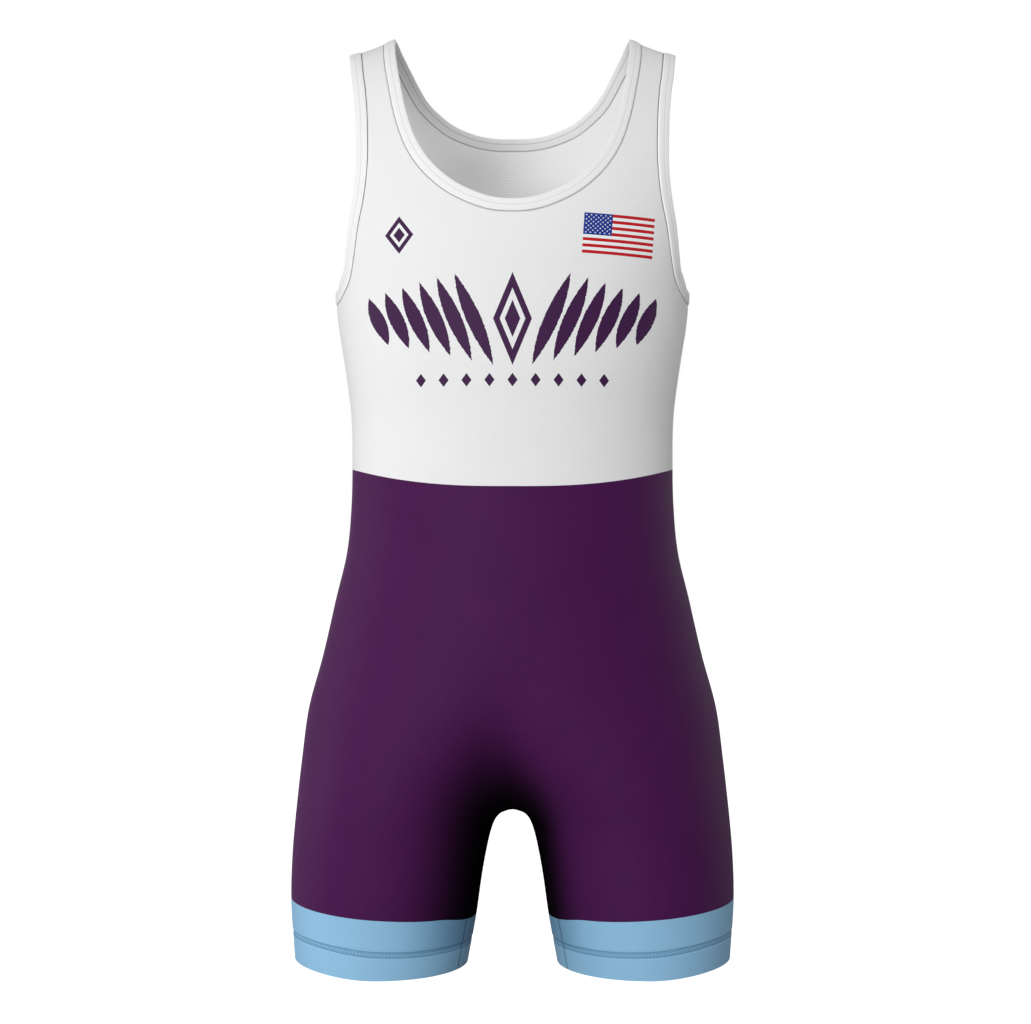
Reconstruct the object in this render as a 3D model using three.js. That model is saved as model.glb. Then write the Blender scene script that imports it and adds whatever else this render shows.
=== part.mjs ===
import * as THREE from "three";

// A sleeveless wrestling singlet with a scooped neck and short legs, filled out as it is when worn.
// Millimetres, +Z up. The front faces -Y and the wearer's left is +X.
// The origin lies between the straps, level with the shoulders that hold the garment up.

// Cloth
const WALL = 1.6;
const HEM_WALL = 2.8;
const SEAM_GAP = 0.3;
const INSEAM_GAP = 0.36;
const BINDING_WIDTH = 10.5;
const BINDING_PROUD = 0.4;
const BINDING_ROUND = 0.9;

// Heights of the lines across the garment
const UNDERARM_Z = -225;
const WAIST_Z = { side: -368, front: -383.5, back: -374 };
const CROTCH_Z = -665;
const BAND_Z = { side: -739.5, inseam: -750 };
const HEM_STITCH_Z = -773;
const HEM_Z = -797;

// Where the legs part: the radius of the saddle, and the height over which it fades into the trunk
const SADDLE_RADIUS = 22;
const SADDLE_HEIGHT = 200;
const SADDLE_SLOPE = 0.6;

// The gap between the legs: half its width at the arch, how deep that arch is, and the splay below it
const ARCH_HALF_WIDTH = 19.5;
const ARCH_DEPTH = 9;
const LEG_SPLAY = 0.15;

// The inseam lies this far round to the front of the inner leg, reached over a short height
const INSEAM_TURN = 0.46;
const INSEAM_FALL = 32;

// Slides of the cloth at the end of a leg: the hem lifted at the outer side, its stitching lower
// inside, and the band's seam lower at the inseam. Each grows from one half breadth to another and
// from one height down to the next, and is gone at the last.
const SLIDES = [
  { up: 5, x: [115, 193], z: [-745, -773, -Infinity] },
  { up: -3.2, x: [170, 75], z: [-748, -773, -797] },
  { up: -5, x: [62, 30], z: [-715, -750, -773] },
];

// Height of the curve in which the front and the back rise to the shoulder seam
const SHOULDER_RISE = { front: 185, back: 165 };

// The straps climb towards the neck: how much, where along the shoulder, and how far down it fades
const STRAP_CLIMB = 60;
const STRAP_DROP = 13.5;
const STRAP_CLIMB_X = 85;
const STRAP_CLIMB_RUN = 28;
const STRAP_FADE = 200;

// Sections of the garment from the shoulders down: half breadth at the side seams, depth in front of
// the side line and behind it, how far that line lies behind the origin, and how square the oval is
const SECTIONS = [
  { z: 0, side: 194, front: 102, back: 100, shift: 0, square: 2.25 },
  { z: -60, side: 187, front: 108, back: 103, shift: 0, square: 2.25 },
  { z: -120, side: 176, front: 113, back: 105, shift: 0, square: 2.25 },
  { z: -175, side: 162.5, front: 116, back: 106, shift: 0, square: 2.25 },
  { z: -210, side: 154.6, front: 117, back: 105, shift: 0, square: 2.25 },
  { z: -240, side: 152, front: 116, back: 103, shift: 0, square: 2.22 },
  { z: -280, side: 145.8, front: 112, back: 99, shift: -1, square: 2.2 },
  { z: -320, side: 140.6, front: 106, back: 94, shift: -2, square: 2.15 },
  { z: -360, side: 139.6, front: 102, back: 90, shift: -3, square: 2.15 },
  { z: -400, side: 140.4, front: 101, back: 91, shift: -3, square: 2.15 },
  { z: -440, side: 144.3, front: 102, back: 96, shift: -2, square: 2.15 },
  { z: -480, side: 153.9, front: 104, back: 104, shift: 0, square: 2.15 },
  { z: -530, side: 165.6, front: 105, back: 114, shift: 2, square: 2.1 },
  { z: -575, side: 177.8, front: 104, back: 119, shift: 3, square: 2.1 },
  { z: -620, side: 184, front: 102, back: 116, shift: 4, square: 2.1 },
  { z: -665, side: 189, front: 98, back: 106, shift: 4, square: 2.1 },
  { z: -700, side: 192, front: 94, back: 98, shift: 3, square: 2.1 },
  { z: -735, side: 193.2, front: 91, back: 92, shift: 2, square: 2.1 },
  { z: -770, side: 192, front: 89, back: 88, shift: 2, square: 2.1 },
  { z: -797, side: 190.2, front: 88, back: 86, shift: 2, square: 2.1 },
];

// Seam lines of the openings, as half breadth against height, from the shoulder seam down
const NECKLINE = {
  front: [
    { x: 112, z: 0 },
    { x: 109.5, z: -22 },
    { x: 104.8, z: -49.5 },
    { x: 98, z: -81.3 },
    { x: 88.5, z: -107.8 },
    { x: 76, z: -127 },
    { x: 60, z: -142 },
    { x: 44, z: -151.4 },
    { x: 22, z: -159.2 },
    { x: 0, z: -161.5 },
  ],
  back: [
    { x: 112, z: 0 },
    { x: 107, z: -9 },
    { x: 99.6, z: -24.9 },
    { x: 91.3, z: -42.4 },
    { x: 83.5, z: -55.6 },
    { x: 70.5, z: -70.3 },
    { x: 57.6, z: -80.8 },
    { x: 40.2, z: -89.3 },
    { x: 22, z: -94.2 },
    { x: 0, z: -96 },
  ],
};
const ARMHOLE = {
  front: [
    { x: 132.6, z: 0 },
    { x: 128.2, z: -26.8 },
    { x: 125.3, z: -46.2 },
    { x: 123, z: -72 },
    { x: 122.2, z: -112 },
    { x: 125, z: -140 },
    { x: 130.4, z: -166 },
    { x: 134, z: -188 },
    { x: 138, z: -207 },
    { x: 143, z: -217 },
    { x: 149, z: -224 },
  ],
  back: [
    { x: 132.6, z: 0 },
    { x: 130.4, z: -25 },
    { x: 129, z: -50 },
    { x: 128.6, z: -90 },
    { x: 130.5, z: -125 },
    { x: 135.5, z: -160 },
    { x: 141.8, z: -185 },
    { x: 146.2, z: -197.5 },
    { x: 150.1, z: -210.5 },
    { x: 152.6, z: -221 },
  ],
};

// Grid of each half panel: columns from the side to the centre, and rows down each stretch
const COLUMNS = 12;
const ROWS = { neck: 14, arm: 18, chest: 24, seat: 14, leg: 7 };

// Rows crowd towards the crotch, where the form turns quickest
const CROWDING = 1.8;

// Millimetres for each radian of the form, used to spread points evenly along an opening
const ACROSS_MM = 120;
const DOWN_MM = 185;
const OPENING_DIVISIONS = 400;

// Small steps that measure the form's slope and trim a panel back from its seam
const ANGLE_STEP = 1e-4;
const SWEEP_STEP = 1e-4;
const SEAM_STEP = 0.5;
const FIRST_STEP = 0.002;
const TRIM_PASSES = 4;

const COLOURS = { white: 0xe6e6e6, purple: 0x481c4d, blue: 0x8ab8d8 };

const { clamp, lerp } = THREE.MathUtils;
const HALF_TURN = Math.PI;
const QUARTER_TURN = Math.PI / 2;

// A smooth curve through one column of the sections
function sectionCurve(column) {
  const last = SECTIONS.length - 1;
  const slopes = SECTIONS.map((_, i) => {
    const above = SECTIONS[Math.max(i - 1, 0)];
    const below = SECTIONS[Math.min(i + 1, last)];
    return (below[column] - above[column]) / (below.z - above.z);
  });
  return (z) => {
    let i = 0;
    while (i < last - 1 && z < SECTIONS[i + 1].z) i += 1;
    const span = SECTIONS[i + 1].z - SECTIONS[i].z;
    const t = clamp((z - SECTIONS[i].z) / span, 0, 1);
    const ease = t * t * (3 - 2 * t);
    const start = t * (1 - t) * (1 - t) * span * slopes[i];
    const end = t * t * (t - 1) * span * slopes[i + 1];
    return lerp(SECTIONS[i][column], SECTIONS[i + 1][column], ease) + start + end;
  };
}

const sideAt = sectionCurve("side");
const depthAt = { front: sectionCurve("front"), back: sectionCurve("back") };
const shiftAt = sectionCurve("shift");
const squareAt = sectionCurve("square");

const signedPower = (value, power) => Math.sign(value) * Math.abs(value) ** power;
const spread = (x) => Math.hypot(x, SADDLE_RADIUS);

// Trunk and legs are one family of ovals, drawn in the spread of x about the saddle between the legs.
// An oval reaches from this inner edge to this outer one; below the crotch it closes round one leg.
function edgesAt(z) {
  const outer = spread(sideAt(z));
  const above = z - CROTCH_Z;
  if (above < 0) {
    const arch = ARCH_HALF_WIDTH * Math.sqrt(above / (above - ARCH_DEPTH));
    return { inner: spread(arch - LEG_SPLAY * above), outer };
  }
  const t = Math.min(above / SADDLE_HEIGHT, 1);
  const full = SADDLE_RADIUS + outer;
  const start = (t ** 3 - 2 * t * t + t) * SADDLE_SLOPE * SADDLE_HEIGHT;
  const rest = (3 * t * t - 2 * t ** 3) * full;
  return { inner: SADDLE_RADIUS - start - rest, outer };
}

// Height on the form for a sweep down from the shoulder seam: a quarter oval, then straight down
function heightAt(face, sweep) {
  const rise = SHOULDER_RISE[face];
  const bend = Math.min(sweep, QUARTER_TURN);
  return -rise * (1 - Math.cos(bend)) - rise * (sweep - bend);
}

function sweepAt(face, z) {
  const t = -z / SHOULDER_RISE[face];
  return t < 1 ? Math.acos(1 - t) : QUARTER_TURN + t - 1;
}

// The angle round an oval, from 0 at the side seam, that reaches a given half breadth
function angleAt(x, z) {
  const { inner, outer } = edgesAt(z);
  const share = (2 * spread(x) - outer - inner) / (outer - inner);
  return Math.acos(clamp(signedPower(share, squareAt(z) / 2), -1, 1));
}

// The angle at which a panel ends: on the centre line above the crotch, and at the inseam below it
function lastAngle(face, z) {
  if (z >= CROTCH_Z) return angleAt(0, z);
  const turn = INSEAM_TURN * (1 - Math.exp((z - CROTCH_Z) / INSEAM_FALL));
  return face === "front" ? HALF_TURN - turn : HALF_TURN + turn;
}

// How far the straps climb towards the neck at a half breadth, fading out down the chest
function strapClimb(x, z) {
  const t = clamp(1 + z / STRAP_FADE, 0, 1);
  const climb = STRAP_CLIMB / (1 + Math.exp((x - STRAP_CLIMB_X) / STRAP_CLIMB_RUN));
  return (climb - STRAP_DROP) * t * t * (3 - 2 * t);
}

// 0 before one value, 1 beyond the other, and smooth between them
function ramp(value, from, to) {
  const t = clamp((value - from) / (to - from), 0, 1);
  return t * t * (3 - 2 * t);
}

// How far the cloth at the end of a leg is slid up from level rows
function legSlide(x, z) {
  return SLIDES.reduce((sum, slide) => {
    const [start, full, end] = slide.z;
    const share = ramp(x, ...slide.x) * ramp(z, start, full) * (1 - ramp(z, full, end));
    return sum + slide.up * share;
  }, 0);
}

// The garment's outer surface, on the wearer's left half
function formPoint(face, angle, sweep) {
  const z = heightAt(face, sweep);
  const { inner, outer } = edgesAt(z);
  const power = 2 / squareAt(z);
  const across = (outer + inner + (outer - inner) * signedPower(Math.cos(angle), power)) / 2;
  const x = Math.sqrt(Math.max(across * across - SADDLE_RADIUS * SADDLE_RADIUS, 0));
  const round = signedPower(Math.sin(angle), power);
  const facing = face === "front" ? -1 : 1;
  const other = face === "front" ? "back" : "front";
  const depth = round >= 0 ? depthAt[face](z) : depthAt[other](z);
  const arch = Math.sin(Math.min(sweep, QUARTER_TURN));
  const y = (shiftAt(z) + facing * depth * round) * arch;
  return new THREE.Vector3(x, y, z + strapClimb(x, z) + legSlide(x, z));
}

// The outward normal of that surface
function formNormal(face, angle, sweep) {
  const down = formPoint(face, angle, sweep + SWEEP_STEP);
  down.sub(formPoint(face, angle, Math.max(sweep - SWEEP_STEP, 0)));
  const across = formPoint(face, angle + ANGLE_STEP, sweep);
  across.sub(formPoint(face, angle - ANGLE_STEP, sweep));
  const normal = face === "front" ? down.cross(across) : across.cross(down);
  return normal.negate().normalize();
}

// The angle moved along the section until the point lies half a gap from the seam's own line
function trimmed(face, angle, sweep, direction, seam, gap) {
  const edge = formPoint(face, angle, sweep);
  let step = FIRST_STEP;
  for (let pass = 0; pass < TRIM_PASSES; pass += 1) {
    const moved = formPoint(face, angle + direction * step, sweep).sub(edge);
    step *= gap / 2 / moved.cross(seam).length();
  }
  return angle + direction * step;
}

// A place on a panel: its angle and sweep, and whether it lies on the centre line
const place = (angle, sweep, centred = false) => ({ angle, sweep, centred });

// Where the shoulder seam runs, half a seam gap from the top of the form
const SHOULDER_SWEEP = SEAM_GAP / 2 / depthAt.back(0);

// The sweep of a row of an opening's table
const rowSweep = (face, z, i) => (i === 0 ? SHOULDER_SWEEP : sweepAt(face, z));

// The neckline's seam from the shoulder to the centre, half of a smooth line from strap to strap
function neckline(face) {
  const half = NECKLINE[face].map(
    ({ x, z }, i) => new THREE.Vector3(x, rowSweep(face, z, i) * DOWN_MM, 0),
  );
  const other = half.slice(0, -1).reverse().map(({ x, y }) => new THREE.Vector3(-x, y, 0));
  const line = new THREE.CatmullRomCurve3([...half, ...other]);
  line.arcLengthDivisions = OPENING_DIVISIONS;
  return (t) => {
    const point = line.getPointAt(t / 2);
    const sweep = point.y / DOWN_MM;
    return place(angleAt(point.x, heightAt(face, sweep)), sweep);
  };
}

// The armhole's seam from the shoulder to the side seam at the underarm
function armhole(face, underarm) {
  const points = ARMHOLE[face].map(({ x, z }, i) => {
    return new THREE.Vector3(angleAt(x, z) * ACROSS_MM, rowSweep(face, z, i) * DOWN_MM, 0);
  });
  points.push(new THREE.Vector3(underarm.angle * ACROSS_MM, underarm.sweep * DOWN_MM, 0));
  const line = new THREE.CatmullRomCurve3(points);
  line.arcLengthDivisions = OPENING_DIVISIONS;
  return (t) => {
    const point = line.getPointAt(t);
    return place(point.x / ACROSS_MM, point.y / DOWN_MM);
  };
}

// The side seam and the centre line or inseam, as places
function sidePlace(face, z) {
  const sweep = sweepAt(face, z);
  return place(trimmed(face, 0, sweep, 1, new THREE.Vector3(0, 0, -1), SEAM_GAP), sweep);
}

function innerPlace(face, z) {
  const sweep = sweepAt(face, z);
  const angle = lastAngle(face, z);
  if (z > CROTCH_Z) return place(angle, sweep, true);
  const seam = formPoint(face, lastAngle(face, z - SEAM_STEP), sweepAt(face, z - SEAM_STEP));
  seam.sub(formPoint(face, angle, sweep)).normalize();
  return place(trimmed(face, angle, sweep, -1, seam, INSEAM_GAP), sweep, z === CROTCH_Z);
}

// The place a share `u` of the way in from the side edge to the inner edge of a row.
// `level` bends the row from a straight line to one that leaves both edges level.
function between(side, inner, u, level) {
  const swell = lerp(u, (1 - Math.cos(HALF_TURN * u)) / 2, level);
  const angle = lerp(side.angle, inner.angle, u);
  return place(angle, lerp(side.sweep, inner.sweep, swell), inner.centred && u === 1);
}

// The outward normal on the centre line, which points straight down where the legs part
function centreNormal(face, sweep) {
  if (sweep > sweepAt(face, CROTCH_Z) - SWEEP_STEP) return new THREE.Vector3(0, 0, -1);
  const at = (s) => formPoint(face, lastAngle(face, heightAt(face, s)), s);
  const along = at(sweep + SWEEP_STEP).sub(at(sweep - SWEEP_STEP));
  const facing = face === "front" ? -1 : 1;
  return new THREE.Vector3(0, -along.z * facing, along.y * facing).normalize();
}

// A row of panel points from the side edge to the inner one
function panelRow(face, side, inner, level, wall = WALL) {
  return Array.from({ length: COLUMNS + 1 }, (_, i) => {
    const at = between(side, inner, i / COLUMNS, level);
    const point = formPoint(face, at.angle, at.sweep);
    if (!at.centred) return { point, normal: formNormal(face, at.angle, at.sweep), wall };
    point.x = 0;
    return { point, normal: centreNormal(face, at.sweep), wall };
  });
}

// The white panel, from the shoulder seam to the waist. Its side edge follows the armhole and then the
// side seam; its inner edge follows the neckline and, from higher up, the centre line.
function chestRows(face) {
  const underarm = sidePlace(face, UNDERARM_Z);
  const arm = armhole(face, underarm);
  const neck = neckline(face);
  const neckZ = NECKLINE[face].at(-1).z;
  return Array.from({ length: ROWS.chest + 1 }, (_, j) => {
    const belowArm = (j - ROWS.arm) / (ROWS.chest - ROWS.arm);
    const belowNeck = (j - ROWS.neck) / (ROWS.chest - ROWS.neck);
    const sideZ = lerp(UNDERARM_Z, WAIST_Z.side + SEAM_GAP / 2, belowArm);
    const centreZ = lerp(neckZ, WAIST_Z[face] + SEAM_GAP / 2, belowNeck);
    const side = belowArm < 0 ? arm(j / ROWS.arm) : sidePlace(face, sideZ);
    const inner = belowNeck < 0 ? neck(j / ROWS.neck) : innerPlace(face, centreZ);
    return panelRow(face, side, inner, Math.max(belowNeck, 0));
  });
}

// The purple panel: from the waist over the seat to the crotch, then down both legs
function trunkRows(face) {
  const top = -SEAM_GAP / 2;
  const count = ROWS.seat + ROWS.leg;
  const rows = [];
  for (let j = 0; j <= count; j += 1) {
    const side = lerp(WAIST_Z.side + top, BAND_Z.side - top, j / count);
    const above = Math.max(1 - j / ROWS.seat, 0) ** CROWDING;
    const below = Math.max(j / ROWS.seat - 1, 0) * (ROWS.seat / ROWS.leg);
    const trunk = lerp(CROTCH_Z, WAIST_Z[face] + top, above);
    const inner = below > 0 ? lerp(CROTCH_Z, BAND_Z.inseam - top, below ** CROWDING) : trunk;
    rows.push(panelRow(face, sidePlace(face, side), innerPlace(face, inner), 1));
  }
  return rows;
}

// The blue band of one leg, whose hem is turned up inside as far as its stitching
function bandRows(face) {
  const top = SEAM_GAP / 2;
  const step = (HEM_WALL - WALL) / 2;
  const seam = BAND_Z.side - BAND_Z.inseam;
  const levels = [
    { z: BAND_Z.side - top, drop: seam, wall: WALL },
    { z: (BAND_Z.side + HEM_STITCH_Z) / 2, drop: seam / 2, wall: WALL },
    { z: HEM_STITCH_Z + step, drop: 0, wall: WALL },
    { z: HEM_STITCH_Z - step, drop: 0, wall: HEM_WALL },
    { z: (HEM_STITCH_Z + HEM_Z) / 2, drop: 0, wall: HEM_WALL },
    { z: HEM_Z, drop: 0, wall: HEM_WALL },
  ];
  return levels.map(({ z, drop, wall }) =>
    panelRow(face, sidePlace(face, z), innerPlace(face, z - drop), 1, wall),
  );
}

const mirrored = ({ point, normal, wall }) => ({
  point: new THREE.Vector3(-point.x, point.y, point.z),
  normal: new THREE.Vector3(-normal.x, normal.y, normal.z),
  wall,
});

// The four-cornered cells of a panel half, their corners running round so that they face out
function cellsOf(face, rows) {
  const cells = [];
  for (let j = 1; j < rows.length; j += 1) {
    for (let i = 1; i <= COLUMNS; i += 1) {
      const cell = [rows[j - 1][i - 1], rows[j - 1][i], rows[j][i], rows[j][i - 1]];
      cells.push(face === "front" ? cell : cell.reverse());
    }
  }
  return cells;
}

const mirroredCells = (cells) => cells.map((cell) => cell.map(mirrored).reverse());

const materials = Object.fromEntries(
  Object.entries(COLOURS).map(([name, color]) => [
    name,
    new THREE.MeshStandardMaterial({ name, color, roughness: 0.75, metalness: 0 }),
  ]),
);

function meshOf(name, vertices, triangles, material) {
  const geometry = new THREE.BufferGeometry();
  geometry.setFromPoints(vertices);
  geometry.setIndex(triangles);
  geometry.computeVertexNormals();
  const mesh = new THREE.Mesh(geometry, material);
  mesh.name = name;
  return mesh;
}

// A wall of cloth: the cells outside, the same cells moved in by the wall, and a rim round the edges
function clothWall(name, cells, material) {
  const places = new Map();
  const outer = [];
  const inner = [];
  const indexOf = ({ point, normal, wall }) => {
    const key = point.toArray().map((value) => value.toFixed(3)).join(" ");
    if (!places.has(key)) {
      places.set(key, outer.length);
      outer.push(point);
      inner.push(point.clone().addScaledVector(normal, -wall));
    }
    return places.get(key);
  };
  const loops = cells.map((cell) => cell.map(indexOf));
  const count = outer.length;
  const triangles = [];
  const edges = new Set();
  for (const [a, b, c, d] of loops) {
    triangles.push(a, b, c, a, c, d);
    triangles.push(c + count, b + count, a + count, d + count, c + count, a + count);
    for (const [from, to] of [[a, b], [b, c], [c, d], [d, a]]) edges.add(`${from} ${to}`);
  }
  for (const edge of edges) {
    const [from, to] = edge.split(" ").map(Number);
    if (edges.has(`${to} ${from}`)) continue;
    triangles.push(to, from, from + count, to, from + count, to + count);
  }
  return meshOf(name, [...outer, ...inner], triangles, material);
}

// Section of a folded binding: out from the seam along the cloth, and above or below its outer face
const BINDING_FOOT = -WALL - BINDING_PROUD;
const BINDING_SECTION = [
  { out: SEAM_GAP, up: BINDING_PROUD },
  { out: BINDING_WIDTH / 2, up: BINDING_PROUD },
  { out: BINDING_WIDTH - BINDING_ROUND, up: BINDING_PROUD },
  { out: BINDING_WIDTH, up: (BINDING_PROUD + BINDING_FOOT) / 2 },
  { out: BINDING_WIDTH - BINDING_ROUND, up: BINDING_FOOT },
  { out: BINDING_WIDTH / 2, up: BINDING_FOOT },
  { out: SEAM_GAP, up: BINDING_FOOT },
];

// A binding along one edge of a panel, through stops that each have an edge point and its normal.
// `turn` is 1 or -1: the side of the line that the opening is on, seen from outside.
// Bindings meet at the shoulder and side seams, where they end square to the wearer's front.
function binding(name, stops, turn, material) {
  const last = stops.length - 1;
  const rings = stops.map(({ edge, ending }, i) => {
    const ahead = stops[Math.min(i + 1, last)].edge.point;
    const along = ahead.clone().sub(stops[Math.max(i - 1, 0)].edge.point);
    if (ending) along.set(0, Math.sign(along.y), 0);
    const out = along.cross(edge.normal).multiplyScalar(turn).normalize();
    return BINDING_SECTION.map(({ out: reach, up }) =>
      edge.point.clone().addScaledVector(out, reach).addScaledVector(edge.normal, up),
    );
  });
  const size = BINDING_SECTION.length;
  const triangles = [];
  for (let j = 0; j < last; j += 1) {
    for (let i = 0; i < size; i += 1) {
      const next = (i + 1) % size;
      const [a, b] = [j * size + i, j * size + next];
      triangles.push(a, b, b + size, a, b + size, a + size);
    }
  }
  for (let i = 1; i < size - 1; i += 1) {
    triangles.push(0, i + 1, i, last * size, last * size + i, last * size + i + 1);
  }
  const vertices = rings.flat();
  const volume = signedVolume(vertices, triangles);
  return meshOf(name, vertices, volume < 0 ? triangles.reverse() : triangles, material);
}

function signedVolume(vertices, triangles) {
  let volume = 0;
  for (let i = 0; i < triangles.length; i += 3) {
    const [a, b, c] = triangles.slice(i, i + 3).map((index) => vertices[index]);
    volume += a.dot(b.clone().cross(c)) / 6;
  }
  return volume;
}

// The stops of a binding beside the first rows of a panel half, on its side or its inner edge
function stopsOf(rows, column, count) {
  return rows.slice(0, count + 1).map((row, j) => ({
    edge: row[column],
    ending: j === 0 || (column === 0 && j === count),
  }));
}

const mirroredStops = (stops) =>
  stops.map(({ edge, ending }) => ({ edge: mirrored(edge), ending }));

// The garment
const singlet = new THREE.Group();
singlet.name = "wrestling_singlet";

for (const face of ["front", "back"]) {
  const chest = chestRows(face);
  const chestCells = cellsOf(face, chest);
  const trunkCells = cellsOf(face, trunkRows(face));
  const bandCells = cellsOf(face, bandRows(face));
  singlet.add(
    clothWall(`chest_${face}`, [...chestCells, ...mirroredCells(chestCells)], materials.white),
    clothWall(`trunk_${face}`, [...trunkCells, ...mirroredCells(trunkCells)], materials.purple),
    clothWall(`leg_band_${face}_left`, bandCells, materials.blue),
    clothWall(`leg_band_${face}_right`, mirroredCells(bandCells), materials.blue),
  );

  const turn = face === "front" ? 1 : -1;
  const neck = stopsOf(chest, COLUMNS, ROWS.neck);
  const otherNeck = mirroredStops(neck.slice(0, -1)).reverse();
  singlet.add(
    binding(`neck_binding_${face}`, [...neck, ...otherNeck], turn, materials.white),
  );

  const arm = stopsOf(chest, 0, ROWS.arm);
  singlet.add(
    binding(`armhole_binding_${face}_left`, arm, -turn, materials.white),
    binding(`armhole_binding_${face}_right`, mirroredStops(arm), turn, materials.white),
  );
}

export default singlet;
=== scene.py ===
"""The looks of a sleeveless wrestling singlet, filled out as it is when worn.

Metres, +Z up. The front faces -Y and the wearer's left is +X. The origin lies between the straps.
"""
import math
from bisect import bisect_left
from collections import namedtuple
from functools import lru_cache
import bmesh
import bpy
from mathutils import Matrix, Vector, kdtree


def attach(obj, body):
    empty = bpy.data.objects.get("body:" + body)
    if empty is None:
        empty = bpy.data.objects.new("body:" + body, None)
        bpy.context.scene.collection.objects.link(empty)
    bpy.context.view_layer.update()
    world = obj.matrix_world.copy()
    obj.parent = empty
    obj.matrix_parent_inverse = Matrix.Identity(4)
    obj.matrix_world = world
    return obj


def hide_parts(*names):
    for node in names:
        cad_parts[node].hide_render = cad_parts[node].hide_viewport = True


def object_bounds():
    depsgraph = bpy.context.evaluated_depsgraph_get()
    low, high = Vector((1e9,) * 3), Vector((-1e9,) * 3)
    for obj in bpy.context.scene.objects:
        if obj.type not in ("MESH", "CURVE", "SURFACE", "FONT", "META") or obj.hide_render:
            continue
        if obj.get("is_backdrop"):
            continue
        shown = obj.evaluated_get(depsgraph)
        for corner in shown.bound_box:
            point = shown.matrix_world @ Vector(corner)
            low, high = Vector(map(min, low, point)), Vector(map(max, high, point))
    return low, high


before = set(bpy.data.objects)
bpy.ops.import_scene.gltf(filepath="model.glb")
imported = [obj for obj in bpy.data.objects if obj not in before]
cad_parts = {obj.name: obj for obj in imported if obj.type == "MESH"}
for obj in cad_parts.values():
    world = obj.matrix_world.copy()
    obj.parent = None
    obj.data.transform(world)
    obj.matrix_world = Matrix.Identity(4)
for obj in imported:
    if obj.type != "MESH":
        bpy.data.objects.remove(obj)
cad_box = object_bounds()

MM = 0.001
HALF_TURN = math.pi
QUARTER_TURN = math.pi / 2
FULL_TURN = math.pi * 2

# Both faces of the garment, and which way along Y each of them looks
FACES = ("front", "back")
FACING = {"front": -1, "back": 1}
SIDES = ("left", "right")

# Cloth, bindings and hems
WALL = 1.1 * MM
BINDING_WIDTH = 10.5 * MM
BINDING_THICKNESS = 2.8 * MM
BINDING_SQUARE = 3.4
STITCH_CHANNEL = {"at": 5.4 * MM, "reach": 0.8 * MM, "depth": 0.3 * MM}
HEM_STEP = 0.3 * MM
HEM_GROOVE = 0.25 * MM
HEM_GROOVE_EDGE = 0.35 * MM
HEM_LINING = 1.0 * MM
HEM_ROUND = 0.9 * MM

# Heights of the lines across the garment
UNDERARM_Z = -225 * MM
WAIST_Z = {"side": -368 * MM, "front": -383.5 * MM, "back": -374 * MM}
CROTCH_Z = -665 * MM
BAND_Z = {"side": -739.5 * MM, "inseam": -750 * MM}
HEM_STITCH_Z = -773 * MM
HEM_STITCH_HALF = 2.3 * MM
HEM_Z = -797 * MM

# Where the legs part: the saddle between them, the gap below it, and the seam inside each leg
SADDLE_RADIUS = 22 * MM
SADDLE_HEIGHT = 200 * MM
SADDLE_SLOPE = 0.6
ARCH_HALF_WIDTH = 19.5 * MM
ARCH_DEPTH = 9 * MM
LEG_SPLAY = 0.15
INSEAM_TURN = 0.46
INSEAM_FALL = 32 * MM

# Slides of the cloth at the end of a leg, in millimetres: the hem lifted at the outer side, its
# stitching lower inside, and the band's seam lower at the inseam. Each grows from one half breadth to
# another and from one height down to the next, and is gone at the last.
Slide = namedtuple("Slide", "up x z")
SLIDES = [
    Slide(5, (115, 193), (-745, -773, -math.inf)),
    Slide(-3.2, (170, 75), (-748, -773, -797)),
    Slide(-5, (62, 30), (-715, -750, -773)),
]

# Painted shade in the hollow between the legs, where little light reaches the cloth, wider over the
# wearer's right thigh
HOLLOW_REACH = {"right": 46 * MM, "left": 22 * MM}
HOLLOW_CHANGE = 40 * MM
HOLLOW_RISE = 0.4
HOLLOW_EDGE = 2.6

# The curve up to the shoulder seam, and how the straps climb towards the neck
SHOULDER_RISE = {"front": 185 * MM, "back": 165 * MM}
STRAP_CLIMB = 60 * MM
STRAP_DROP = 13.5 * MM
STRAP_CLIMB_X = 85 * MM
STRAP_CLIMB_RUN = 28 * MM
STRAP_FADE = 200 * MM

# Sections from the shoulders down, in millimetres: half breadth at the side seams, depth in front of
# the side line and behind it, how far that line lies behind the origin, and how square the oval is
Section = namedtuple("Section", "z side front back shift square")
SECTIONS = [
    Section(0, 194, 102, 100, 0, 2.25),
    Section(-60, 187, 108, 103, 0, 2.25),
    Section(-120, 176, 113, 105, 0, 2.25),
    Section(-175, 162.5, 116, 106, 0, 2.25),
    Section(-210, 154.6, 117, 105, 0, 2.25),
    Section(-240, 152, 116, 103, 0, 2.22),
    Section(-280, 145.8, 112, 99, -1, 2.2),
    Section(-320, 140.6, 106, 94, -2, 2.15),
    Section(-360, 139.6, 102, 90, -3, 2.15),
    Section(-400, 140.4, 101, 91, -3, 2.15),
    Section(-440, 144.3, 102, 96, -2, 2.15),
    Section(-480, 153.9, 104, 104, 0, 2.15),
    Section(-530, 165.6, 105, 114, 2, 2.1),
    Section(-575, 177.8, 104, 119, 3, 2.1),
    Section(-620, 184, 102, 116, 4, 2.1),
    Section(-665, 189, 98, 106, 4, 2.1),
    Section(-700, 192, 94, 98, 3, 2.1),
    Section(-735, 193.2, 91, 92, 2, 2.1),
    Section(-770, 192, 89, 88, 2, 2.1),
    Section(-797, 190.2, 88, 86, 2, 2.1),
]

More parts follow.
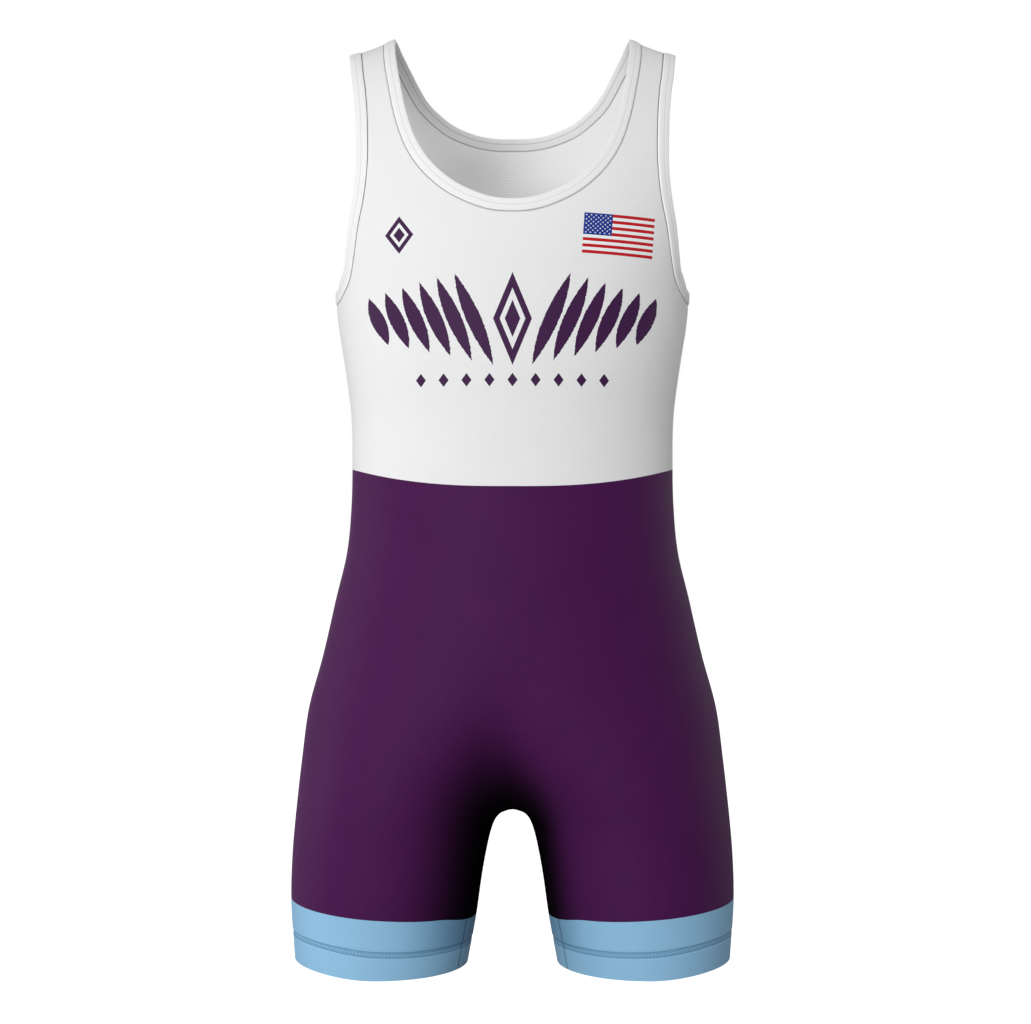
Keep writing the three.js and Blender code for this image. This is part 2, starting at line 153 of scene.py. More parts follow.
# Seam lines of the openings, in millimetres: half breadth and height, from the shoulder seam down
Stop = namedtuple("Stop", "x z")
NECKLINE = {
    "front": [
        Stop(112, 0), Stop(109.5, -22), Stop(104.8, -49.5), Stop(98, -81.3), Stop(88.5, -107.8),
        Stop(76, -127), Stop(60, -142), Stop(44, -151.4), Stop(22, -159.2), Stop(0, -161.5),
    ],
    "back": [
        Stop(112, 0), Stop(107, -9), Stop(99.6, -24.9), Stop(91.3, -42.4), Stop(83.5, -55.6),
        Stop(70.5, -70.3), Stop(57.6, -80.8), Stop(40.2, -89.3), Stop(22, -94.2), Stop(0, -96),
    ],
}
ARMHOLE = {
    "front": [
        Stop(132.6, 0), Stop(128.2, -26.8), Stop(125.3, -46.2), Stop(123, -72), Stop(122.2, -112),
        Stop(125, -140), Stop(130.4, -166), Stop(134, -188), Stop(138, -207), Stop(143, -217),
        Stop(149, -224),
    ],
    "back": [
        Stop(132.6, 0), Stop(130.4, -25), Stop(129, -50), Stop(128.6, -90), Stop(130.5, -125),
        Stop(135.5, -160), Stop(141.8, -185), Stop(146.2, -197.5), Stop(150.1, -210.5),
        Stop(152.6, -221),
    ],
}

# Steps down a chest panel: to the foot of the neckline, to the underarm, and in all to the waist
NECK_ROWS = 14
ARM_ROWS = 18
CHEST_ROWS = 24

# Steps down a trunk panel: to the crotch, then down the leg, crowded together near the crotch
SEAT_ROWS = 14
LEG_ROWS = 7
CROWDING = 1.8

# Seams: how deep the cloth dips at one, how far the dip reaches, the columns and rows laid beside it,
# how strongly each seam shows in its dip and in the painted shade along it, and the points that mark it
SEAM_DIP = 0.35 * MM
SEAM_REACH = 1.0 * MM
SEAM_STEPS = [0, 0.4 * MM, 0.8 * MM, 1.2 * MM, 1.8 * MM]
SEAM_SHOWS = {"neck": 0.72, "arm": 1.0, "shoulder": 0.2, "side": 0.4, "inseam": 0.8}
SEAM_POINTS = {"neck": 600, "arm": 600, "shoulder": 60, "side": 1200, "inseam": 400}
INSEAM_CROWDING = 1.5

# Fineness of the meshes
PANEL_COLUMNS = 60
ROWS_A_STRETCH = {"neck": 60, "arm": 18, "waist": 26, "seat": 70, "leg": 34, "band": 30}
STATIONS = {"neck": {"front": 52, "back": 36}, "arm": {"front": 56, "back": 56}, "hem": 48}
BINDING_POINTS = 28
WIDTH_POINTS = 12
SAME_PLACE = 0.004 * MM

# A small step over the form, in radians, that finds which way it faces
FORM_STEP = 1e-4

# Where the centre line lies in the cloth's measure, because a mirrored measure turns about one half
CENTRE_ACROSS = 0.5

# Lengths of a radian across and down the form, used to space points along an opening
ACROSS = 120 * MM
DOWN = 185 * MM
NECK_RUN = 150 * MM

# Stitches, the two needle rows of a hem, and the cover thread that shows between them
STITCH_LENGTH = 1.2 * MM
STITCH_GAP = 0.8 * MM
STITCH_RADIUS = 0.24 * MM
NEEDLE_OFFSET = 1.9 * MM
COVER_LENGTH = 0.9 * MM
COVER_GAP = 2.1 * MM

# Faces that meet at more than this angle keep a crisp edge
CRISP_ANGLE = 0.9


def lerp(start, end, share):
    return start + (end - start) * share


def clamp(value, low=0.0, high=1.0):
    return min(max(value, low), high)


def ease(share):
    return share * share * (3 - 2 * share)


def ramp(value, start, end):
    return ease(clamp((value - start) / (end - start)))


def signed_power(value, power):
    return math.copysign(abs(value) ** power, value)


def section_curve(column, unit=MM):
    """A smooth curve through one column of the sections."""
    heights = [section.z * MM for section in SECTIONS]
    depths = [-height for height in heights]
    values = [getattr(section, column) * unit for section in SECTIONS]
    last = len(SECTIONS) - 1
    slopes = []
    for i in range(last + 1):
        above, below = max(i - 1, 0), min(i + 1, last)
        slopes.append((values[below] - values[above]) / (heights[below] - heights[above]))

    @lru_cache(maxsize=None)
    def value_at(z):
        i = clamp(bisect_left(depths, -z) - 1, 0, last - 1)
        span = heights[i + 1] - heights[i]
        t = clamp((z - heights[i]) / span)
        start = t * (1 - t) ** 2 * span * slopes[i]
        end = t * t * (t - 1) * span * slopes[i + 1]
        return lerp(values[i], values[i + 1], ease(t)) + start + end

    return value_at


side_at = section_curve("side")
depth_at = {"front": section_curve("front"), "back": section_curve("back")}
shift_at = section_curve("shift")
square_at = section_curve("square", unit=1)


def spread(x):
    return math.hypot(x, SADDLE_RADIUS)


def gap_at(below):
    """Half the breadth of the gap between the legs, a given way below the crotch."""
    return ARCH_HALF_WIDTH * math.sqrt(below / (below + ARCH_DEPTH)) + LEG_SPLAY * below


def hollow_shade(point):
    """How much painted shade a point takes in the hollow between the legs: 1 at the inseam, fading over
    the thigh.
    """
    up = point.z - (CROTCH_Z - ARCH_HALF_WIDTH)
    out = math.hypot(point.x, max(up, 0))
    away = max(out - ARCH_HALF_WIDTH + LEG_SPLAY * min(up, 0), 0)
    away *= 1 - HOLLOW_RISE * (max(up, 0) / max(out, SAME_PLACE)) ** 2
    side = ease(clamp((1 + point.x / HOLLOW_CHANGE) / 2))
    reach = lerp(HOLLOW_REACH["right"], HOLLOW_REACH["left"], side)
    return math.exp(-((away / reach) ** HOLLOW_EDGE))


def leg_slide(x, z):
    """How far the cloth at the end of a leg is slid up from level rows."""
    slid = 0
    for slide in SLIDES:
        start, full, end = slide.z
        share = ramp(z / MM, start, full) * (1 - ramp(z / MM, full, end))
        slid += slide.up * MM * ramp(x / MM, *slide.x) * share
    return slid


def edges_at(z):
    """Inner and outer edge of an oval, in the spread of x about the saddle between the legs."""
    outer = spread(side_at(z))
    above = z - CROTCH_Z
    if above < 0:
        return spread(gap_at(-above)), outer
    t = min(above / SADDLE_HEIGHT, 1)
    start = (t ** 3 - 2 * t * t + t) * SADDLE_SLOPE * SADDLE_HEIGHT
    return SADDLE_RADIUS - start - ease(t) * (SADDLE_RADIUS + outer), outer


def height_at(face, sweep):
    """Height on the form for a sweep down from the shoulder seam: a quarter oval, then straight."""
    rise = SHOULDER_RISE[face]
    bend = min(sweep, QUARTER_TURN)
    return -rise * (1 - math.cos(bend)) - rise * (sweep - bend)


def sweep_at(face, z):
    t = -z / SHOULDER_RISE[face]
    return math.acos(1 - t) if t < 1 else QUARTER_TURN + t - 1


def angle_at(x, z):
    """The angle round an oval, from 0 at the side seam, that reaches a given half breadth."""
    inner, outer = edges_at(z)
    share = (2 * spread(x) - outer - inner) / (outer - inner)
    return math.acos(clamp(signed_power(share, square_at(z) / 2), -1, 1))


def last_angle(face, z):
    """Where a panel ends: on the centre line above the crotch, and at the inseam below it."""
    if z >= CROTCH_Z:
        return angle_at(0, z)
    turn = INSEAM_TURN * (1 - math.exp((z - CROTCH_Z) / INSEAM_FALL))
    return HALF_TURN - turn if face == "front" else HALF_TURN + turn


def strap_climb(x, z):
    climb = STRAP_CLIMB / (1 + math.exp((x - STRAP_CLIMB_X) / STRAP_CLIMB_RUN))
    return (climb - STRAP_DROP) * ease(clamp(1 + z / STRAP_FADE))


def form_point(face, angle, sweep):
    """The garment's outer surface, on the wearer's left half."""
    z = height_at(face, sweep)
    inner, outer = edges_at(z)
    power = 2 / square_at(z)
    across = (outer + inner + (outer - inner) * signed_power(math.cos(angle), power)) / 2
    x = math.sqrt(max(across * across - SADDLE_RADIUS * SADDLE_RADIUS, 0))
    turned = signed_power(math.sin(angle), power)
    other = "back" if face == "front" else "front"
    depth = depth_at[face](z) if turned >= 0 else depth_at[other](z)
    arch = math.sin(min(sweep, QUARTER_TURN))
    y = (shift_at(z) + FACING[face] * depth * turned) * arch
    return Vector((x, y, z + strap_climb(x, z)))


def form_normal(face, angle, sweep):
    down = form_point(face, angle, sweep + FORM_STEP)
    down -= form_point(face, angle, max(sweep - FORM_STEP, 0))
    across = form_point(face, angle + FORM_STEP, sweep) - form_point(face, angle - FORM_STEP, sweep)
    normal = across.cross(down) if face == "front" else down.cross(across)
    return normal.normalized()


class Curve:
    """A centripetal curve through points of the plane, read by its share of the length."""

    STEPS = 16

    def __init__(self, stops):
        before = stops[0] * 2 - stops[1]
        after = stops[-1] * 2 - stops[-2]
        around = [before, *stops, after]
        self.points = []
        for i in range(len(stops) - 1):
            stretch = around[i : i + 4]
            self.points += [self.between(*stretch, k / self.STEPS) for k in range(self.STEPS)]
        self.points.append(stops[-1])
        self.lengths = [0.0]
        for start, end in zip(self.points, self.points[1:]):
            self.lengths.append(self.lengths[-1] + (end - start).length)

    @staticmethod
    def between(a, b, c, d, t):
        """The point a share t of the way from b to c, on the curve through a, b, c and d."""
        pairs = ((a, b), (b, c), (c, d))
        before, span, after = (math.sqrt((end - start).length) for start, end in pairs)
        leaving = ((b - a) / before - (c - a) / (before + span) + (c - b) / span) * span
        reaching = ((c - b) / span - (d - b) / (span + after) + (d - c) / after) * span
        ends = b * (1 - ease(t)) + c * ease(t)
        return ends + leaving * (t * (1 - t) ** 2) + reaching * (t * t * (t - 1))

    def at(self, share):
        target = clamp(share) * self.lengths[-1]
        i = clamp(bisect_left(self.lengths, target), 1, len(self.lengths) - 1)
        span = self.lengths[i] - self.lengths[i - 1]
        return self.points[i - 1].lerp(self.points[i], (target - self.lengths[i - 1]) / span)


Place = namedtuple("Place", "angle sweep")


def side_place(face, z):
    return Place(0.0, sweep_at(face, z))


def inner_place(face, z):
    return Place(last_angle(face, z), sweep_at(face, z))


def neckline(face):
    """The neckline's seam from the shoulder to the centre, half of a smooth line over both straps."""
    half = [Vector((stop.x * MM, sweep_at(face, stop.z * MM) * DOWN)) for stop in NECKLINE[face]]
    other = [Vector((-stop.x, stop.y)) for stop in reversed(half[:-1])]
    line = Curve(half + other)

    def place_at(share):
        point = line.at(share / 2)
        sweep = point.y / DOWN
        return Place(angle_at(point.x, height_at(face, sweep)), sweep)

    return place_at


def armhole(face):
    """The armhole's seam from the shoulder to the side seam at the underarm."""
    stops = []
    for stop in ARMHOLE[face]:
        x, z = stop.x * MM, stop.z * MM
        stops.append(Vector((angle_at(x, z) * ACROSS, sweep_at(face, z) * DOWN)))
    stops.append(Vector((0, sweep_at(face, UNDERARM_Z) * DOWN)))
    line = Curve(stops)

    def place_at(share):
        point = line.at(share)
        return Place(point.x / ACROSS, point.y / DOWN)

    return place_at


NECK = {face: neckline(face) for face in FACES}
ARM = {face: armhole(face) for face in FACES}

# A row of a panel: its place on the side edge, its place on the inner edge, and how level it meets them
Row = namedtuple("Row", "side inner level")


def chest_row(face, j):
    below_arm = (j - ARM_ROWS) / (CHEST_ROWS - ARM_ROWS)
    below_neck = (j - NECK_ROWS) / (CHEST_ROWS - NECK_ROWS)
    side = ARM[face](j / ARM_ROWS)
    if below_arm >= 0:
        side = side_place(face, lerp(UNDERARM_Z, WAIST_Z["side"], below_arm))
    inner = NECK[face](j / NECK_ROWS)
    if below_neck >= 0:
        neck_z = NECKLINE[face][-1].z * MM
        inner = inner_place(face, lerp(neck_z, WAIST_Z[face], below_neck))
    return Row(side, inner, max(below_neck, 0))


def trunk_row(face, j):
    side_z = lerp(WAIST_Z["side"], BAND_Z["side"], j / (SEAT_ROWS + LEG_ROWS))
    if j <= SEAT_ROWS:
        inner_z = lerp(CROTCH_Z, WAIST_Z[face], (1 - j / SEAT_ROWS) ** CROWDING)
    else:
        inner_z = lerp(CROTCH_Z, BAND_Z["inseam"], ((j - SEAT_ROWS) / LEG_ROWS) ** CROWDING)
    return Row(side_place(face, side_z), inner_place(face, inner_z), 1)


def band_row(face, share):
    z = lerp(BAND_Z["side"], HEM_Z, share)
    above_stitch = clamp((z - HEM_STITCH_Z) / (BAND_Z["side"] - HEM_STITCH_Z))
    drop = (BAND_Z["side"] - BAND_Z["inseam"]) * above_stitch
    return Row(side_place(face, z), inner_place(face, z - drop), 1)


def between(row, u):
    """The place a share u of the way in along a row."""
    swell = lerp(u, (1 - math.cos(HALF_TURN * u)) / 2, row.level)
    angle = lerp(row.side.angle, row.inner.angle, u)
    return Place(angle, lerp(row.side.sweep, row.inner.sweep, swell))


def crowded(start, end, count, near, length):
    """Numbers from start to end, the first ones set at the given distances on a stretch of that length."""
    first = [lerp(start, end, distance / length) for distance in near]
    rest = count - len(first) + 1
    return first + [lerp(first[-1], end, (k + 1) / rest) for k in range(rest)]


def even(start, end, count):
    return [lerp(start, end, k / count) for k in range(count + 1)]


def chest_rows(face):
    """Close rows just below the shoulder, the neckline and the underarm let the seams dip there."""
    below_neck = NECKLINE[face][-1].z * MM - WAIST_Z[face]
    centre_run = below_neck * (ARM_ROWS - NECK_ROWS) / (CHEST_ROWS - NECK_ROWS)
    side_run = UNDERARM_Z - WAIST_Z["side"]
    js = crowded(0, NECK_ROWS, ROWS_A_STRETCH["neck"], SEAM_STEPS, NECK_RUN)
    js += crowded(NECK_ROWS, ARM_ROWS, ROWS_A_STRETCH["arm"], SEAM_STEPS, centre_run)[1:]
    js += crowded(ARM_ROWS, CHEST_ROWS, ROWS_A_STRETCH["waist"], SEAM_STEPS, side_run)[1:]
    return [chest_row(face, j) for j in js]


def trunk_rows(face):
    js = even(0, SEAT_ROWS, ROWS_A_STRETCH["seat"])
    js += even(SEAT_ROWS, SEAT_ROWS + LEG_ROWS, ROWS_A_STRETCH["leg"])[1:]
    return [trunk_row(face, j) for j in js]


def band_rows(face):
    """Even rows, and close ones at both edges of the hem's stitching."""
    whole = BAND_Z["side"] - HEM_Z
    stitch = (BAND_Z["side"] - HEM_STITCH_Z) / whole
    half = HEM_STITCH_HALF / whole
    edge = HEM_GROOVE_EDGE / whole
    shares = set(even(0, 1, ROWS_A_STRETCH["band"]))
    shares = {share for share in shares if abs(share - stitch) > half + 2 * edge}
    for side in (-1, 1):
        shares |= {stitch + side * (half + step * edge) for step in (-1, 0, 1)}
    shares.add(stitch)
    return [band_row(face, share) for share in sorted(shares)]


def seam_lines(face):
    """Points close together along every seam of one face, with how strongly each seam shows."""
    shoulder = Row(ARM[face](0), NECK[face](0), 0)
    inseam_top = CROTCH_Z - SAME_PLACE
    seams = {
        "neck": NECK[face],
        "arm": ARM[face],
        "shoulder": lambda share: between(shoulder, share),
        "side": lambda share: side_place(face, lerp(UNDERARM_Z, HEM_Z, share)),
        "inseam": lambda share: inner_place(face, lerp(inseam_top, HEM_Z, share ** INSEAM_CROWDING)),
    }
    lines = []
    for seam, place_at in seams.items():
        count = SEAM_POINTS[seam]
        points = [form_point(face, *place_at(k / count)) for k in range(count + 1)]
        lines += [(point, SEAM_SHOWS[seam]) for point in points]
    return lines


def seam_finder(face):
    """How close a point is to a seam: 1 on one that shows fully, falling to 0 a little way off."""
    lines = seam_lines(face)
    tree = kdtree.KDTree(len(lines))
    for i, (point, _) in enumerate(lines):
        tree.insert(point, i)
    tree.balance()

    def closeness(point):
        _, i, distance = tree.find(point)
        return lines[i][1] * math.exp(-((distance / SEAM_REACH) ** 4))

    return closeness


SEAM_CLOSENESS = {face: seam_finder(face) for face in FACES}


def row_shares(face, row):
    """Shares along a row for its columns, which crowd beside both edges so that a seam can dip there."""
    coarse = [form_point(face, *between(row, k / WIDTH_POINTS)) for k in range(WIDTH_POINTS + 1)]
    width = sum((end - start).length for start, end in zip(coarse, coarse[1:]))
    half = crowded(0, 0.5, PANEL_COLUMNS // 2, SEAM_STEPS, width / 2)
    return half + [1 - share for share in reversed(half[:-1])]


def lay_out_cloth(panel, lines):
    """Measures the cloth in metres: across from the inner edge of each line, and down the middle."""
    cloth = panel.loops.layers.uv.new("cloth")
    middle = len(lines[0]) // 2
    measured = {}
    down = 0.0
    for above, line in zip([lines[0], *lines], lines):
        down += (line[middle].co - above[middle].co).length
        run = CENTRE_ACROSS
        measured[line[-1]] = (run, -down)
        for vertex, after in zip(reversed(line[:-1]), reversed(line[1:])):
            run += (vertex.co - after.co).length
            measured[vertex] = (run, -down)
    for cell in panel.faces:
        for corner in cell.loops:
            corner[cloth].uv = measured[corner.vert]


def half_panel(face, rows):
    """A grid laid on the form from the side edge to the inner one, with its seams marked."""
    panel = bmesh.new()
    bmesh.ops.create_grid(panel, x_segments=PANEL_COLUMNS, y_segments=len(rows) - 1, size=0.5)
    panel.verts.ensure_lookup_table()
    seam = panel.verts.layers.float.new("seam")
    size = PANEL_COLUMNS + 1
    lines = [panel.verts[r * size : (r + 1) * size] for r in range(len(rows))]
    for row, line in zip(rows, lines):
        for share, vertex in zip(row_shares(face, row), line):
            vertex.co = form_point(face, *between(row, share))
            vertex[seam] = SEAM_CLOSENESS[face](vertex.co)
    lay_out_cloth(panel, lines)
    return panel


def mark_hollow_shade(panel):
    shade = panel.verts.layers.float.new("hollow_shade")
    for vertex in panel.verts:
        vertex[shade] = hollow_shade(vertex.co)


def face_outwards(panel, face):
    bmesh.ops.recalc_face_normals(panel, faces=panel.faces)
    if FACING[face] * sum(cell.normal.y * cell.calc_area() for cell in panel.faces) < 0:
        bmesh.ops.reverse_faces(panel, faces=panel.faces)
    panel.normal_update()


def tighten_hem(panel):
    """The turned-up hem lies a little closer than the band, below the groove that its stitches pull."""
    for vertex in panel.verts:
        below = HEM_STITCH_Z - vertex.co.z
        if below > HEM_STITCH_HALF + SAME_PLACE:
            vertex.co -= vertex.normal * HEM_STEP
        elif below > -HEM_STITCH_HALF + SAME_PLACE:
            vertex.co -= vertex.normal * (HEM_STEP + HEM_GROOVE)


def give_wall(panel, lining_below=None):
    """Dips the seams and gives the cloth its wall, pinched at the seams and doubled inside a hem."""
    seam = panel.verts.layers.float["seam"]
    lining = panel.verts.layers.float.new("lining")
    inside = panel.verts.layers.float_vector.new("inside")
    outer = set(panel.verts)
    for vertex in outer:
        dip = vertex.normal * (SEAM_DIP * vertex[seam])
        wall = WALL
        if lining_below is not None and vertex.co.z < lining_below:
            wall += HEM_LINING
        vertex[inside] = vertex.co - vertex.normal * wall + dip
        vertex.co -= dip
    bmesh.ops.solidify(panel, geom=panel.faces[:], thickness=WALL)
    for vertex in panel.verts:
        if vertex not in outer:
            vertex.co = vertex[inside]
            vertex[lining] = 1
    panel.verts.layers.float_vector.remove(inside)


def smooth_faces(mesh):
    for cell in mesh.faces:
        cell.smooth = True


def crisp_edges(panel):
    """Smooth faces, with the cut edges of the cloth kept crisp."""
    smooth_faces(panel)
    panel.normal_update()
    for edge in panel.edges:
        edge.smooth = len(edge.link_faces) != 2 or edge.calc_face_angle(0) < CRISP_ANGLE


def put_in_scene(thing):
    bpy.context.scene.collection.objects.link(thing)
    return thing


def made(name, mesh, finish, replaced, slot):
    """A finished piece from its bmesh, riding on the garment's body."""
    for vertex in mesh.verts:
        vertex.co.z += leg_slide(abs(vertex.co.x), vertex.co.z)
    data = bpy.data.meshes.new(name)
    mesh.to_mesh(data)
    mesh.free()
    data.materials.append(finish)
    piece = put_in_scene(bpy.data.objects.new(name, data))
    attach(piece, "root")
    if replaced:
        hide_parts(*replaced)
    return piece


def body_panel(name, face, rows, finish, node, slot):
    """A whole front or back: the left half with its mirror image, joined down the centre line."""
    panel = half_panel(face, rows)
    everything = panel.verts[:] + panel.edges[:] + panel.faces[:]
    bmesh.ops.mirror(panel, geom=everything, merge_dist=SAME_PLACE, axis="X", mirror_u=True)
    face_outwards(panel, face)
    mark_hollow_shade(panel)
    give_wall(panel)
    crisp_edges(panel)
    return made(name, panel, finish, [node], slot)


def leg_band(name, face, side, finish, node):
    """The blue band on one half of a leg, its hem turned up inside and rounded at the fold."""
    panel = half_panel(face, band_rows(face))
    if side == "right":
        bmesh.ops.scale(panel, vec=(-1, 1, 1), verts=panel.verts)
    face_outwards(panel, face)
    mark_hollow_shade(panel)
    tighten_hem(panel)
    panel.normal_update()
    give_wall(panel, lining_below=HEM_STITCH_Z)
    panel.normal_update()
    fold = [
        edge
        for edge in panel.edges
        if all(vertex.co.z < HEM_Z + SAME_PLACE for vertex in edge.verts)
        and abs(edge.calc_face_angle(0)) > CRISP_ANGLE
    ]
    bmesh.ops.bevel(
        panel, geom=fold, offset=HEM_ROUND, segments=4, profile=0.5, affect="EDGES", material=-1
    )
    crisp_edges(panel)
    level = panel.verts.layers.float.new("level")
    for vertex in panel.verts:
        vertex[level] = vertex.co.z
    return made(name, panel, finish, [node], "blue_knit")


# A point along an opening's seam with the form's normal, and the way the seam runs there
Station = namedtuple("Station", "point normal along")


def stations_on(line):
    """Stations on a closed line of points and normals, with the way it runs between its neighbours."""
    found = []
    for i, (point, normal) in enumerate(line):
        ahead, behind = line[(i + 1) % len(line)][0], line[i - 1][0]
        found.append(Station(point, normal, (ahead - behind).normalized()))
    return found


def flipped(line):
    return [(Vector((-p.x, p.y, p.z)), Vector((-n.x, n.y, n.z))) for p, n in line]


def edge_line(face, place_at, count):
    """Points and normals along an opening's seam, from the shoulder on."""
    places = [place_at(k / count) for k in range(count + 1)]
    return [(form_point(face, *place), form_normal(face, *place)) for place in places]


def neck_stations():
    """Round the neck: down the wearer's left of the front, up its right, and back behind."""
    front = edge_line("front", NECK["front"], STATIONS["neck"]["front"])
    back = edge_line("back", NECK["back"], STATIONS["neck"]["back"])
    line = front + flipped(front[-2::-1]) + flipped(back[1:]) + back[-2:0:-1]
    return stations_on(line)


def arm_stations(side):
    front = edge_line("front", ARM["front"], STATIONS["arm"]["front"])
    back = edge_line("back", ARM["back"], STATIONS["arm"]["back"])
    line = front + back[-2:0:-1]
    return stations_on(line if side == "left" else flipped(line)[::-1])


def binding_section():
    """Points round the folded strip: out from the seam, and above the middle of its thickness."""
    points = []
    for k in range(BINDING_POINTS):
        turn = FULL_TURN * (k + 0.5) / BINDING_POINTS
        out = signed_power(math.cos(turn), 2 / BINDING_SQUARE)
        up = signed_power(math.sin(turn), 2 / BINDING_SQUARE)
        out = (out + 1) * BINDING_WIDTH / 2
        channel = math.exp(-(((out - STITCH_CHANNEL["at"]) / STITCH_CHANNEL["reach"]) ** 2))
        up = up * (BINDING_THICKNESS / 2 - STITCH_CHANNEL["depth"] * channel)
        points.append(Vector((out, up)))
    return points


SECTION = binding_section()


def around_to(i):
    """Distance round the strip's section to one of its points, from the free edge over the outside."""
    ring = SECTION + SECTION[:1]
    return sum((end - start).length for start, end in zip(ring[:i], ring[1 : i + 1]))


GIRTH = around_to(BINDING_POINTS)


def binding(name, stations, towards, finish, nodes):
    """A folded strip sewn round an opening. `towards` is 1 or -1: the side the opening is on."""
    strip = bmesh.new()
    count = len(stations)
    bmesh.ops.create_grid(strip, x_segments=BINDING_POINTS, y_segments=count, size=0.5)
    strip.verts.ensure_lookup_table()
    cloth = strip.loops.layers.uv.new("cloth")
    size = BINDING_POINTS + 1
    measured = {}
    around = [around_to(i) for i in range(size)]
    run = 0.0
    for j in range(count + 1):
        station = stations[j % count]
        out_way = station.along.cross(station.normal).normalized() * towards
        if j:
            run += (station.point - stations[j - 1].point).length
        for i in range(size):
            out, up = SECTION[i % BINDING_POINTS]
            vertex = strip.verts[j * size + i]
            vertex.co = station.point + out_way * out + station.normal * (up - WALL / 2)
            measured[vertex] = (run, around[i])
    for cell in strip.faces:
        for corner in cell.loops:
            corner[cloth].uv = measured[corner.vert]
    smooth_faces(strip)
    bmesh.ops.remove_doubles(strip, verts=strip.verts, dist=SAME_PLACE)
    bmesh.ops.recalc_face_normals(strip, faces=strip.faces)
    return made(name, strip, finish, nodes, "white_binding")


def evenly(points, spacing):
    """Points a fixed distance apart along a line, each with the share between its neighbours."""
    found = []
    wait = 0.0
    for i, (start, end) in enumerate(zip(points, points[1:])):
        length = (end - start).length
        while wait < length:
            found.append((i, wait / length))
            wait += spacing
        wait -= length
    return found


def sew(stitches, stations, out, up, towards=1, length=STITCH_LENGTH, gap=STITCH_GAP):
    """A row of stitches beside a line, a given way out across the cloth and up from its face."""
    ring = stations + stations[:1]
    ways = [s.along.cross(s.normal).normalized() * towards for s in ring]
    points = [s.point + way * out + s.normal * up for s, way in zip(ring, ways)]
    for i, share in evenly(points, length + gap):
        along = (points[i + 1] - points[i]).normalized()
        normal = ring[i].normal.lerp(ring[i + 1].normal, share)
        across = normal.cross(along).normalized()
        turn = Matrix((along, across, along.cross(across))).transposed().to_4x4()
        size = Matrix.Diagonal((length / 2, STITCH_RADIUS, STITCH_RADIUS, 1))
        place = Matrix.Translation(points[i].lerp(points[i + 1], share)) @ turn @ size
        bmesh.ops.create_icosphere(stitches, subdivisions=1, radius=1, matrix=place)


def binding_stitches(name, rings, finish):
    """The line of stitches down the middle of each binding, on its outside and its inside."""
    stitches = bmesh.new()
    top = BINDING_THICKNESS / 2 - STITCH_CHANNEL["depth"]
    for stations, towards in rings:
        for up in (top - WALL / 2, -top - WALL / 2):
            sew(stitches, stations, STITCH_CHANNEL["at"], up, towards)
    smooth_faces(stitches)
    return made(name, stitches, finish, [], "white_binding")


def hem_stations(z, side):
    """Round one leg at a height, from the outer side across the front and back behind it."""
    line = []
    for face in FACES:
        row = Row(side_place(face, z), inner_place(face, z), 1)
        half = edge_line(face, lambda share: between(row, share), STATIONS["hem"])
        line += half[:-1] if face == "front" else half[:0:-1]
    return stations_on(line if side == "left" else flipped(line)[::-1])


def hem_stitches(name, heights, finish, slot, **stitch):
    """Rows of stitches round both hems at the given heights, down in the groove that they pull."""
    stitches = bmesh.new()
    for side in SIDES:
        for z in heights:
            sew(stitches, hem_stations(z, side), 0, -(HEM_STEP + HEM_GROOVE), **stitch)
    smooth_faces(stitches)
    return made(name, stitches, finish, [], slot)


class Value:
    """A number that varies over a surface. Sums and products of values add their own nodes."""

    def __init__(self, finish, socket):
        self.finish = finish
        self.socket = socket

    def maths(self, operation, *values):
        return self.finish.node("ShaderNodeMath", {"operation": operation}, dict(enumerate(values)))

    def __add__(self, other):
        return self.maths("ADD", self, other)

    __radd__ = __add__

    def __sub__(self, other):
        return self.maths("SUBTRACT", self, other)

    def __rsub__(self, other):
        return self.maths("SUBTRACT", other, self)

    def __mul__(self, other):
        return self.maths("MULTIPLY", self, other)

    __rmul__ = __mul__

    def __truediv__(self, other):
        return self.maths("DIVIDE", self, other)

    def __rtruediv__(self, other):
        return self.maths("DIVIDE", other, self)

    def __mod__(self, other):
        return self.maths("FLOORED_MODULO", self, other)

    def __pow__(self, other):
        return self.maths("POWER", self, other)

    def __lt__(self, other):
        return self.maths("LESS_THAN", self, other)

    def __gt__(self, other):
        return self.maths("GREATER_THAN", self, other)

    def __abs__(self):
        return self.maths("ABSOLUTE", self)

    def __round__(self):
        return self.maths("ROUND", self)

    def limited(self):
        return self.finish.node("ShaderNodeClamp", {}, {0: self})

    def larger(self, other):
        return self.maths("MAXIMUM", self, other)

    def sine(self):
        return self.maths("SINE", self)

    def cosine(self):
        return self.maths("COSINE", self)


class Nodes:
    """The nodes of a material or of the world."""

    def __init__(self, owner):
        owner.use_nodes = True
        self.tree = owner.node_tree

    def node(self, kind, settings, sockets, output=0):
        """Adds a node: its settings first, then the values or links of its sockets."""
        node = self.tree.nodes.new(kind)
        for name, setting in settings.items():
            setattr(node, name, setting)
        for name, value in sockets.items():
            self.connect(value, node.inputs[name])
        return Value(self, node.outputs[output])

    def connect(self, value, socket):
        if isinstance(value, Value):
            self.tree.links.new(value.socket, socket)
        else:
            socket.default_value = value

    def shown_to_camera(self, seen, otherwise, end):
        """One shader where the camera looks, another for all light that bounces."""
        looking = self.node("ShaderNodeLightPath", {}, {}, output="Is Camera Ray")
        either = self.node("ShaderNodeMixShader", {}, {0: looking, 1: otherwise, 2: seen})
        self.connect(either, self.tree.nodes[end].inputs["Surface"])


